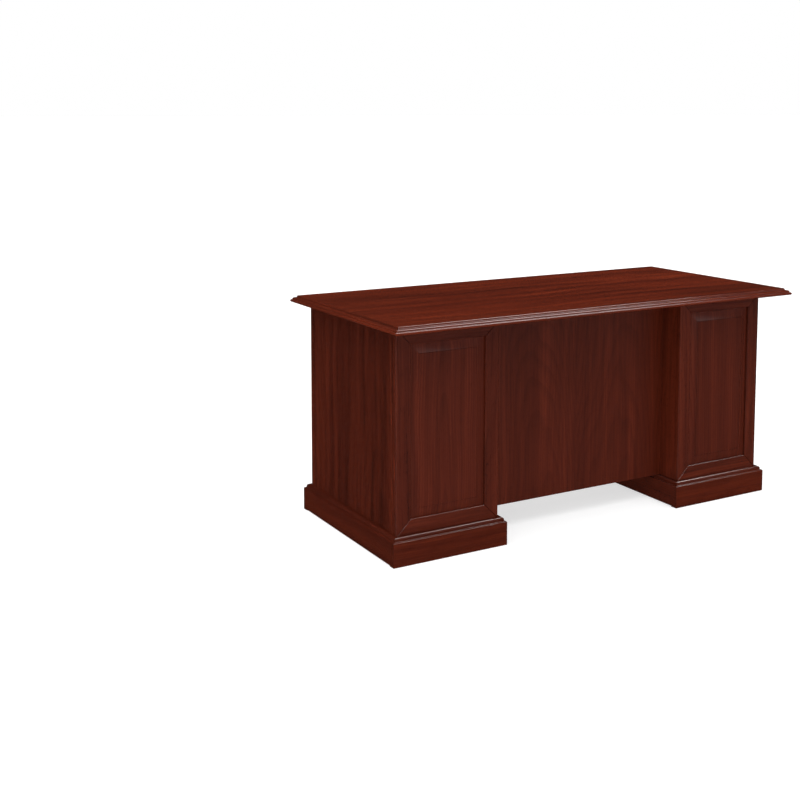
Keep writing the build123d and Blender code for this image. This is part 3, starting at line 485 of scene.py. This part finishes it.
# ---- raised panels ----
def frame_profile():
    """A stile or rail, from its outer edge inward: a flat face, a moulded inner edge and a rabbet behind."""
    corner = arc((0.0, 13.8), (1.2, 16.8), (4.2, 18.0), 6)
    lip = arc((47.8, 18.0), (50.6, 16.9), (51.8, 14.2), 6)
    return [(0.0, 0.0), (0.0, 13.8), *corner, (47.8, 18.0), *lip, (51.8, 10.0), (44.0, 10.0), (44.0, 0.0)]


for name, node in (("panel_frame_left", "drawer_pedestal_panel_frame"),
                   ("panel_frame_right", "cupboard_pedestal_panel_frame")):
    low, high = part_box(node)
    solids = Solids()
    mitred_boards(solids, frame_profile(), ((low.x + high.x) / 2, (low.z + high.z) / 2),
                  ((high.x - low.x) / 2, (high.z - low.z) / 2), upright, gap=0.20, chamfer=(1.5, 2.4))
    solids.piece(name, "case", [WOOD["rail"], WOOD["stile"]], replaces=[node], slot="raised_panel", angle=50)

FIELD_INSET = 0.045         # the field's border is behind the frame's lip
FIELD_STEPS = [(0.0, 3.0), (0.0, 10.0), (8.0, 10.0), (38.0, 14.7), (38.4, 14.9), (38.9, 15.9), (39.8, 16.3)]
fields = Solids()
frame_low, frame_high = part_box("drawer_pedestal_panel_frame")
field_half = ((frame_high.x - frame_low.x) / 2 - FIELD_INSET, (frame_high.z - frame_low.z) / 2 - FIELD_INSET)
for side in (-1, 1):
    terrace(fields, (side * CENTRE_X, (frame_low.z + frame_high.z) / 2), field_half, FIELD_STEPS, upright)
fields.piece("raised_panel_fields", "case", [WOOD["field"]], replaces=["raised_fields"], slot="raised_panel",
             round_mm=0.25)


# ---- fronts ----
FRONT_STEPS = [(0.0, 0.0), (0.0, 10.2), *arc((0.0, 10.2), (1.3, 14.2), (5.2, 15.9), 8), (6.8, 16.2),
               (7.1, 17.2), *arc((7.1, 17.2), (7.4, 17.8), (8.2, 18.0), 3)]


def front(name, node, body):
    low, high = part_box(node)
    solids = Solids()
    terrace(solids, ((low.x + high.x) / 2, (low.z + high.z) / 2),
            ((high.x - low.x) / 2, (high.z - low.z) / 2), FRONT_STEPS, fronted)
    solids.piece(name, body, [WOOD["front"]], replaces=[node], slot="front_face", round_mm=0.3)


for drawer in DRAWERS:
    front(f"{drawer}_face", f"{drawer}_front", drawer)
front("cupboard_door_face", "door", "cupboard_door")


# ---- keyboard shelf ----
BULGE = 0.006               # how far the board's rounded front edge stands out
low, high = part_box("keyboard_shelf")
straight_y = high.y - BULGE
nose = arc((straight_y, low.z), (high.y, (low.z + high.z) / 2), (straight_y, high.z), 10)
board_profile = [(low.y, low.z), (straight_y, low.z), *nose, (low.y, high.z)]
board = Solids()
board.strip([[(x, y, z) for y, z in board_profile] for x in (low.x, high.x)])
board.piece("keyboard_board", "keyboard_shelf", [WOOD["level"]], replaces=["keyboard_shelf"], slot="front_face",
            round_mm=0.5)


# ---- pulls ----
POST_X = 0.048              # the posts are this far from the pull's middle
PIVOT_OUT = 0.017           # the bail turns this far out of the front's face
# radius and distance from the face
ROSETTE = [(0.05, 0.0), (14.6, 0.0), *arc((14.6, 0.0), (15.0, 1.1), (14.3, 2.0), 3),
           *arc((14.3, 2.0), (12.6, 3.1), (10.9, 2.2), 5), (10.3, 1.3), (9.4, 1.3),
           *arc((9.4, 1.3), (8.3, 2.9), (6.9, 3.4), 4), *arc((6.9, 3.4), (4.8, 5.2), (4.3, 8.6), 5),
           (4.3, 10.6), *arc((4.3, 10.6), (7.2, 16.6), (3.6, 23.0), 12),
           *arc((3.6, 23.0), (2.0, 23.8), (0.05, 24.0), 3)]
POST_SCREW = [(0.05, -20.6), (3.0, -20.4), (4.2, -18.9), (4.2, -18.0), (0.05, -18.0)]
# half of the bail from its end to its middle: x and z from the pivot, and radius
BAIL = [(51.0, 0.0, 2.0), (44.0, 0.0, 2.0), (39.6, -1.5, 2.2), (37.4, -6.0, 2.3), (36.6, -11.0, 2.3),
        (35.4, -16.0, 2.6), (33.0, -20.0, 3.4), (29.0, -22.6, 2.7), (22.0, -24.0, 2.5), (11.0, -25.2, 2.7),
        (0.0, -25.7, 2.9)]
PER_SPAN = 5                # points of the smooth line for each point of BAIL


def smooth_line(points):
    """A Catmull-Rom line through points."""
    out = []
    padded = [points[0] * 2 - points[1], *points, points[-1] * 2 - points[-2]]
    for i in range(1, len(padded) - 2):
        p0, p1, p2, p3 = padded[i - 1:i + 3]
        for s in range(PER_SPAN):
            t = s / PER_SPAN
            out.append(0.5 * ((2 * p1) + (p2 - p0) * t + (2 * p0 - 5 * p1 + 4 * p2 - p3) * t * t
                              + (3 * p1 - p0 - 3 * p2 + p3) * t * t * t))
    return out + [points[-1]]


def pull(drawer, side, z):
    x = side * CENTRE_X
    posts = Solids()
    for sign in (-1, 1):
        place = facing_user(x + sign * POST_X, z)
        posts.lathe(ROSETTE, place)
        posts.lathe(POST_SCREW, place, 20)
    posts.piece(f"{drawer}_posts", drawer, [BRONZE], replaces=[f"{drawer}_pull_mounts"], slot="bronze",
                angle=40)
    half = [Vector((px * MM, pz * MM, radius)) for px, pz, radius in BAIL]
    line = smooth_line(half + [Vector((-p.x, p.y, p.z)) for p in reversed(half[:-1])])
    bar = Solids()
    bar.tube([Vector((x + p.x, FACE_Y + PIVOT_OUT, z + p.y)) for p in line], [p.z * MM for p in line], 14)
    bar.piece(f"{drawer}_handle", f"{drawer}_bail", [BRONZE], replaces=[f"{drawer}_bail"], slot="bronze",
              angle=50)


for drawer, (side, z) in DRAWERS.items():
    pull(drawer, side, z)


# ---- slide fittings ----
SLIDE_X = 0.1625            # a drawer's slide members are this far from its middle
SCREW_YS = (-0.150, 0.010, 0.170, 0.290)
PAN_HEAD = [(0.05, -0.4), (3.4, -0.4), (3.4, 0.5), *arc((3.4, 0.5), (2.5, 1.3), (1.5, 1.6), 4), (1.2, 0.7),
            (0.05, 0.7)]
LEVER_OUT = (-0.0003, 0.0024)       # a lever's two faces, out from the member
LEVER_BOXES = [(0.070, 0.128, -0.0050, 0.0050), (0.122, 0.136, -0.0085, -0.0020)]   # from and to in y and z


def slide_fittings(drawer, side):
    """Screws through the drawer's slide members, and a release lever near the front of each."""
    low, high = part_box(f"{drawer}_slide_members")
    z = (low.z + high.z) / 2
    screws, levers = Solids(), Solids()
    for wall in (-1, 1):
        x = side * CENTRE_X + wall * SLIDE_X
        for y in SCREW_YS:
            screws.lathe(PAN_HEAD, lambda u, v, w: (x + wall * w * MM, y + u * MM, z + v * MM), 20)
        lever_xs = [x + wall * out for out in LEVER_OUT]
        for y0, y1, z0, z1 in LEVER_BOXES:
            levers.box((min(lever_xs), y0, z + z0), (max(lever_xs), y1, z + z1))
    screws.piece(f"{drawer}_slide_screws", drawer, [STEEL], slot="plated_steel", angle=50)
    levers.piece(f"{drawer}_slide_levers", drawer, [BLACK_PLASTIC], slot="glide_plastic", round_mm=0.5)


for drawer, (side, _) in DRAWERS.items():
    slide_fittings(drawer, side)


# ---- CAD nodes that keep their shape ----
KEPT = {
    "desktop_core": WOOD["top"], "modesty_panel": WOOD["modesty"],
    "drawer_pedestal_outer_panel": WOOD["end"], "cupboard_pedestal_outer_panel": WOOD["end"],
    "drawer_pedestal_inner_panel": WOOD["inner"], "cupboard_pedestal_inner_panel": WOOD["inner"],
    "cupboard_fixed_shelf": WOOD["level"], "cupboard_loose_shelf": WOOD["level"],
    "pedestal_bottoms": WOOD["level"], "top_rails": WOOD["level"], "drawer_divider_rails": WOOD["rail"],
    "case_slide_members": STEEL, "file_slide_middle_members": STEEL, "file_hanger_rails": STEEL,
    "top_brackets": STEEL, "cam_bolts": STEEL, "cam_discs": STEEL, "shelf_pins": STEEL, "door_strike": STEEL,
    "keyboard_case_members": BLACK_STEEL, "keyboard_shelf_members": BLACK_STEEL,
    "case_hinge_leaves": BLACK_STEEL, "door_hinge_leaves": BLACK_STEEL,
    "file_lock_body": NICKEL, "file_lock_plug": NICKEL, "door_knob_sleeve": NICKEL, "door_knob": NICKEL,
    "floor_glides": BLACK_PLASTIC,
}
for drawer in DRAWERS:
    KEPT[f"{drawer}_walls"] = WOOD["box_side"]
    KEPT[f"{drawer}_bottom"] = HARDBOARD
    KEPT[f"{drawer}_slide_members"] = STEEL
for node, material in KEPT.items():
    mesh = NODES[node].data
    mesh.materials.clear()
    mesh.materials.append(material)


# ---- floor, light and camera ----
FLOOR_REACH = 300
AMBIENT = 0.50              # the studio's even light
floor_mesh = bpy.data.meshes.new("floor")
floor_corners = [(x * FLOOR_REACH, y * FLOOR_REACH, 0) for x, y in ((-1, -1), (1, -1), (1, 1), (-1, 1))]
floor_mesh.from_pydata(floor_corners, [], [(0, 1, 2, 3)])
floor = bpy.data.objects.new("floor", floor_mesh)
bpy.context.scene.collection.objects.link(floor)
floor_mesh.materials.append(new_material("pale_floor", Base_Color=(0.5, 0.5, 0.5, 1), Roughness=0.7,
                                         Specular_IOR_Level=0.0, Emission_Color=(1, 1, 1, 1),
                                         Emission_Strength=0.6)[0])
floor.visible_glossy = False

world = bpy.data.worlds.new("studio")
bpy.context.scene.world = world
world.use_nodes = True
w = Graph(world.node_tree)
rays = w.add("ShaderNodeLightPath")
background = world.node_tree.nodes["Background"]
background.inputs["Color"].default_value = (1, 1, 1, 1)
w.tree.links.new(w.math("MAXIMUM", AMBIENT, rays.outputs["Is Camera Ray"]), background.inputs["Strength"])
world.cycles_visibility.glossy = False      # dark drapes, as far as reflections are concerned


def light(name, kind, location, target, power, unseen_by=None, **settings):
    """A lamp that shines from location towards target. unseen_by names rays that it is hidden from."""
    data = bpy.data.lights.new(name, kind)
    data.energy = power
    for key, value in settings.items():
        setattr(data, key, value)
    obj = bpy.data.objects.new(name, data)
    bpy.context.scene.collection.objects.link(obj)
    obj.location = location
    obj.rotation_mode = "QUATERNION"
    obj.rotation_quaternion = (Vector(target) - Vector(location)).to_track_quat("-Z", "Y")
    obj.visible_camera = False
    if unseen_by:
        setattr(obj, f"visible_{unseen_by}", False)


# soft light from all round
light("overhead", "SUN", (-0.5, -0.5, 4.0), (0, 0, 0), 3.0, angle=math.radians(70))
light("front_key", "SUN", (0.9, -3.0, 2.4), (0, 0, 0.4), 0.35, "glossy", angle=math.radians(50))
light("back_key", "SUN", (-0.9, 3.0, 2.4), (0, 0, 0.4), 0.35, "glossy", angle=math.radians(50))
light("left_fill", "SUN", (-3.0, -1.0, 1.6), (0, 0, 0.4), 0.4, "glossy", angle=math.radians(60))
# the light lines along the mouldings
light("edge_gloss_right", "SUN", (2.24, -0.4, 3.3), (0, 0, 0), 1.3, "diffuse", angle=math.radians(18))
light("edge_gloss_left", "SUN", (-1.9, -1.7, 3.0), (0, 0, 0), 1.5, "diffuse", angle=math.radians(24))
light("left_strip", "AREA", (-5.0, 0.2, -0.65), (0, 0.2, 0.1), 11, "diffuse", shape="RECTANGLE", size=0.5,
      size_y=1.7)
light("front_card", "AREA", (4.0, -5.0, 0.95), (0, -0.3, 0.7), 9, "diffuse", shape="RECTANGLE", size=5.0,
      size_y=0.8)

YAW, PITCH = math.radians(29.529), math.radians(5.524)
camera_data = bpy.data.cameras.new("camera")
camera = bpy.data.objects.new("camera", camera_data)
bpy.context.scene.collection.objects.link(camera)
camera_data.sensor_width = 36.0
camera_data.lens = 53.991
camera_data.shift_y = -0.215        # the desk stands low in a level view
camera.location = (-2.5391, -3.4292, 1.4052)
camera.rotation_mode = "QUATERNION"
ahead = Vector((math.sin(YAW) * math.cos(PITCH), math.cos(YAW) * math.cos(PITCH), -math.sin(PITCH)))
camera.rotation_quaternion = ahead.to_track_quat("-Z", "Y")
bpy.context.scene.camera = camera
bpy.context.scene.view_settings.view_transform = "Standard"
bpy.context.scene.cycles.use_denoising = True
bpy.context.scene.cycles.denoising_prefilter = "ACCURATE"
